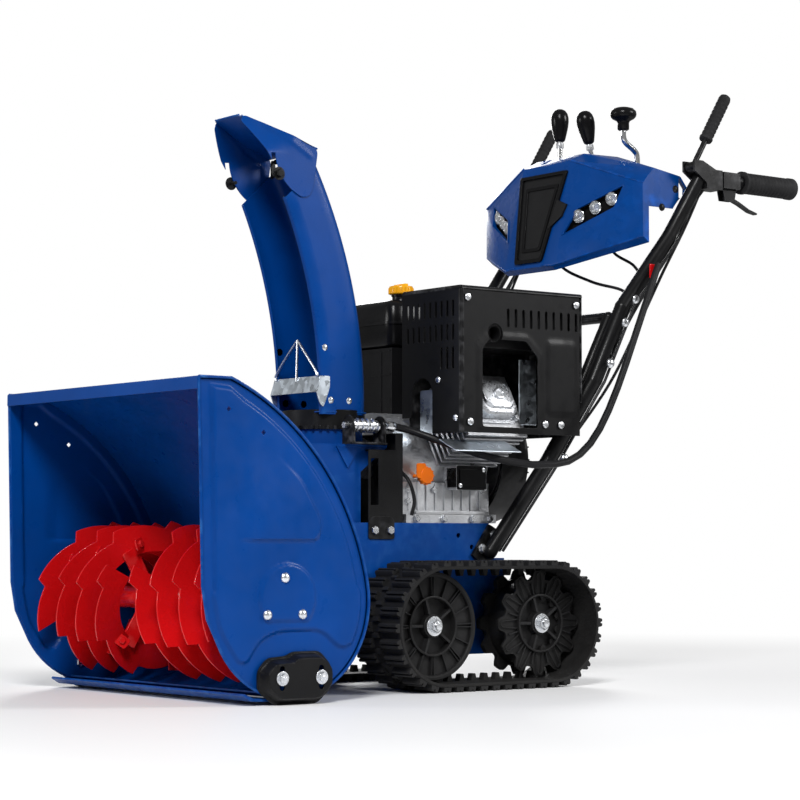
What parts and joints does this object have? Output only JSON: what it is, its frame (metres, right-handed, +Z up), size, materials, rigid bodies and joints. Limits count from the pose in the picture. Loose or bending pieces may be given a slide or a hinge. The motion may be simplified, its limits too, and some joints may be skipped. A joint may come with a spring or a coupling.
{
  "type": "two stage snowblower",
  "caption": "Walk-behind two stage snowblower on rubber tracks, with a ribbed auger housing, tall turning chute, engine, dash and twin clutch levers.",
  "frame": {"origin": "on the ground, on the machine's centre plane, straight below the auger's axis", "axes": "+Z up, the auger housing opens towards -Y, the operator stands at +Y, +X is the operator's left"},
  "size_m": [0.61, 1.274, 1.0084],
  "materials": {
    "blue_paint": "gloss",
    "blue_plastic": "gloss",
    "red_paint": "gloss",
    "black_paint": "satin",
    "black_plastic": "satin",
    "track_rubber": "matte",
    "zinc_steel": "satin",
    "cast_aluminium": "cast",
    "cast_iron": "cast",
    "bronze": "machined",
    "lamp_lens": "clear",
    "yellow_plastic": "gloss",
    "orange_plastic": "gloss"
  },
  "bodies": {
    "frame": {"auger_housing": "blue_paint", "left_side_plate": "blue_paint", "right_side_plate": "blue_paint", "scraper_blade": "blue_paint", "housing_fasteners": "zinc_steel", "shaft_bearings": "cast_iron", "impeller_housing": "blue_paint", "gearbox_case": "red_paint", "drive_belts": "track_rubber", "chassis_frame": "blue_paint", "belt_cover": "black_paint", "engine_block": "cast_aluminium", "cylinder_head": "cast_aluminium", "rocker_cover": "zinc_steel", "heat_shield": "zinc_steel", "muffler": "black_paint", "muffler_guard": "black_paint", "fuel_tank": "black_plastic", "air_box": "black_plastic", "recoil_housing": "black_plastic", "frame_fasteners": "zinc_steel", "worm_bracket": "black_paint", "flex_shaft": "black_plastic", "left_handlebar": "black_paint", "right_handlebar": "black_paint", "handle_crossbar": "black_paint", "dash_panel": "blue_plastic", "dash_grille": "black_plastic", "headlights": "lamp_lens", "handle_grips": "track_rubber", "track_belts": "track_rubber", "control_cables": "black_plastic"},
    "impeller": {"impeller": "red_paint", "impeller_shaft": "zinc_steel", "impeller_pulley": "cast_iron"},
    "auger": {"auger_shaft": "zinc_steel", "left_auger": "red_paint", "right_auger": "red_paint", "worm_wheel": "bronze"},
    "crankshaft": {"crankshaft": "cast_iron"},
    "chute": {"chute": "blue_paint", "chute_brace": "zinc_steel"},
    "deflector": {"deflector": "blue_paint"},
    "chute_worm": {"chute_worm": "zinc_steel"},
    "chute_crank": {"chute_crank": "black_paint"},
    "speed_lever": {"speed_lever": "black_plastic"},
    "deflector_lever": {"deflector_lever": "black_plastic"},
    "left_clutch_lever": {"left_clutch_lever": "black_paint"},
    "right_clutch_lever": {"right_clutch_lever": "black_paint"},
    "left_trigger": {"left_trigger": "black_plastic"},
    "right_trigger": {"right_trigger": "black_plastic"},
    "left_rear_wheel": {"left_rear_wheel": "black_plastic"},
    "left_front_wheel": {"left_front_wheel": "black_plastic"},
    "right_rear_wheel": {"right_rear_wheel": "black_plastic"},
    "right_front_wheel": {"right_front_wheel": "black_plastic"},
    "fuel_cap": {"fuel_cap": "yellow_plastic"},
    "dipstick": {"dipstick": "orange_plastic"},
    "recoil_handle": {"recoil_handle": "black_plastic"},
    "left_skid": {"left_skid": "black_paint"},
    "right_skid": {"right_skid": "black_paint"}
  },
  "joints": [
    {"name": "impeller_spin", "type": "hinge", "parent": "frame", "child": "impeller", "pos_m": [0, 0.2, 0.179], "axis": [0, 1, 0], "continuous": true},
    {"name": "auger_spin", "type": "hinge", "parent": "frame", "child": "auger", "pos_m": [0, 0, 0.147], "axis": [1, 0, 0], "continuous": true},
    {"name": "engine_spin", "type": "hinge", "parent": "frame", "child": "crankshaft", "pos_m": [0, 0.45, 0.37], "axis": [0, 1, 0], "continuous": true},
    {"name": "chute_turn", "type": "hinge", "parent": "frame", "child": "chute", "pos_m": [0, 0.272, 0.412], "axis": [0, 0, 1], "range_deg": [-95, 95]},
    {"name": "deflector_tilt", "type": "hinge", "parent": "chute", "child": "deflector", "pos_m": [0, 0.207, 0.848], "axis": [1, 0, 0], "range_deg": [-39, 21]},
    {"name": "chute_worm_turn", "type": "hinge", "parent": "frame", "child": "chute_worm", "pos_m": [0.085, 0.289, 0.418], "axis": [0, 1, 0], "range_deg": [-1150, 1150]},
    {"name": "chute_crank_turn", "type": "hinge", "parent": "frame", "child": "chute_crank", "pos_m": [0.1, 0.873, 0.85], "axis": [0, 0, 1], "range_deg": [-1150, 1150]},
    {"name": "speed_lever_tilt", "type": "hinge", "parent": "frame", "child": "speed_lever", "pos_m": [-0.022, 0.802, 0.79], "axis": [1, 0, 0], "range_deg": [-14, 14]},
    {"name": "deflector_lever_tilt", "type": "hinge", "parent": "frame", "child": "deflector_lever", "pos_m": [0.046, 0.842, 0.79], "axis": [1, 0, 0], "range_deg": [-8, 4.5]},
    {"name": "left_clutch_squeeze", "type": "hinge", "parent": "frame", "child": "left_clutch_lever", "pos_m": [0.225, 0.885, 0.872], "axis": [1, 0, 0], "range_deg": [-48, 0]},
    {"name": "right_clutch_squeeze", "type": "hinge", "parent": "frame", "child": "right_clutch_lever", "pos_m": [-0.225, 0.885, 0.872], "axis": [1, 0, 0], "range_deg": [-48, 0]},
    {"name": "left_trigger_squeeze", "type": "hinge", "parent": "frame", "child": "left_trigger", "pos_m": [0.225, 0.965, 0.829], "axis": [1, 0, 0], "range_deg": [0, 15]},
    {"name": "right_trigger_squeeze", "type": "hinge", "parent": "frame", "child": "right_trigger", "pos_m": [-0.225, 0.965, 0.829], "axis": [1, 0, 0], "range_deg": [0, 15]},
    {"name": "left_rear_wheel_spin", "type": "hinge", "parent": "frame", "child": "left_rear_wheel", "pos_m": [0.163, 0.574, 0.102], "axis": [1, 0, 0], "continuous": true},
    {"name": "left_front_wheel_spin", "type": "hinge", "parent": "frame", "child": "left_front_wheel", "pos_m": [0.163, 0.352, 0.102], "axis": [1, 0, 0], "continuous": true},
    {"name": "right_rear_wheel_spin", "type": "hinge", "parent": "frame", "child": "right_rear_wheel", "pos_m": [-0.163, 0.574, 0.102], "axis": [1, 0, 0], "continuous": true},
    {"name": "right_front_wheel_spin", "type": "hinge", "parent": "frame", "child": "right_front_wheel", "pos_m": [-0.163, 0.352, 0.102], "axis": [1, 0, 0], "continuous": true},
    {"name": "fuel_cap_turn", "type": "hinge", "parent": "frame", "child": "fuel_cap", "pos_m": [-0.062, 0.478, 0.655], "axis": [0, 0, 1], "range_deg": [0, 270]},
    {"name": "dipstick_pull", "type": "slide", "parent": "frame", "child": "dipstick", "axis": [1, 0, 0], "range_m": [0, 0.1]},
    {"name": "recoil_pull", "type": "slide", "parent": "frame", "child": "recoil_handle", "axis": [0, 1, 0], "range_m": [0, 0.4]},
    {"name": "left_skid_height", "type": "slide", "parent": "frame", "child": "left_skid", "axis": [0, 0, 1], "range_m": [-0.01, 0.01]},
    {"name": "right_skid_height", "type": "slide", "parent": "frame", "child": "right_skid", "axis": [0, 0, 1], "range_m": [-0.01, 0.01]}
  ],
  "couplings": [
    {"joint": "auger_spin", "follows": "impeller_spin", "ratio": 0.1},
    {"joint": "chute_worm_turn", "follows": "chute_turn", "ratio": 12},
    {"joint": "chute_crank_turn", "follows": "chute_turn", "ratio": 12},
    {"joint": "deflector_lever_tilt", "follows": "deflector_tilt", "ratio": 0.2},
    {"joint": "left_front_wheel_spin", "follows": "left_rear_wheel_spin", "ratio": 1},
    {"joint": "right_front_wheel_spin", "follows": "right_rear_wheel_spin", "ratio": 1}
  ]
}
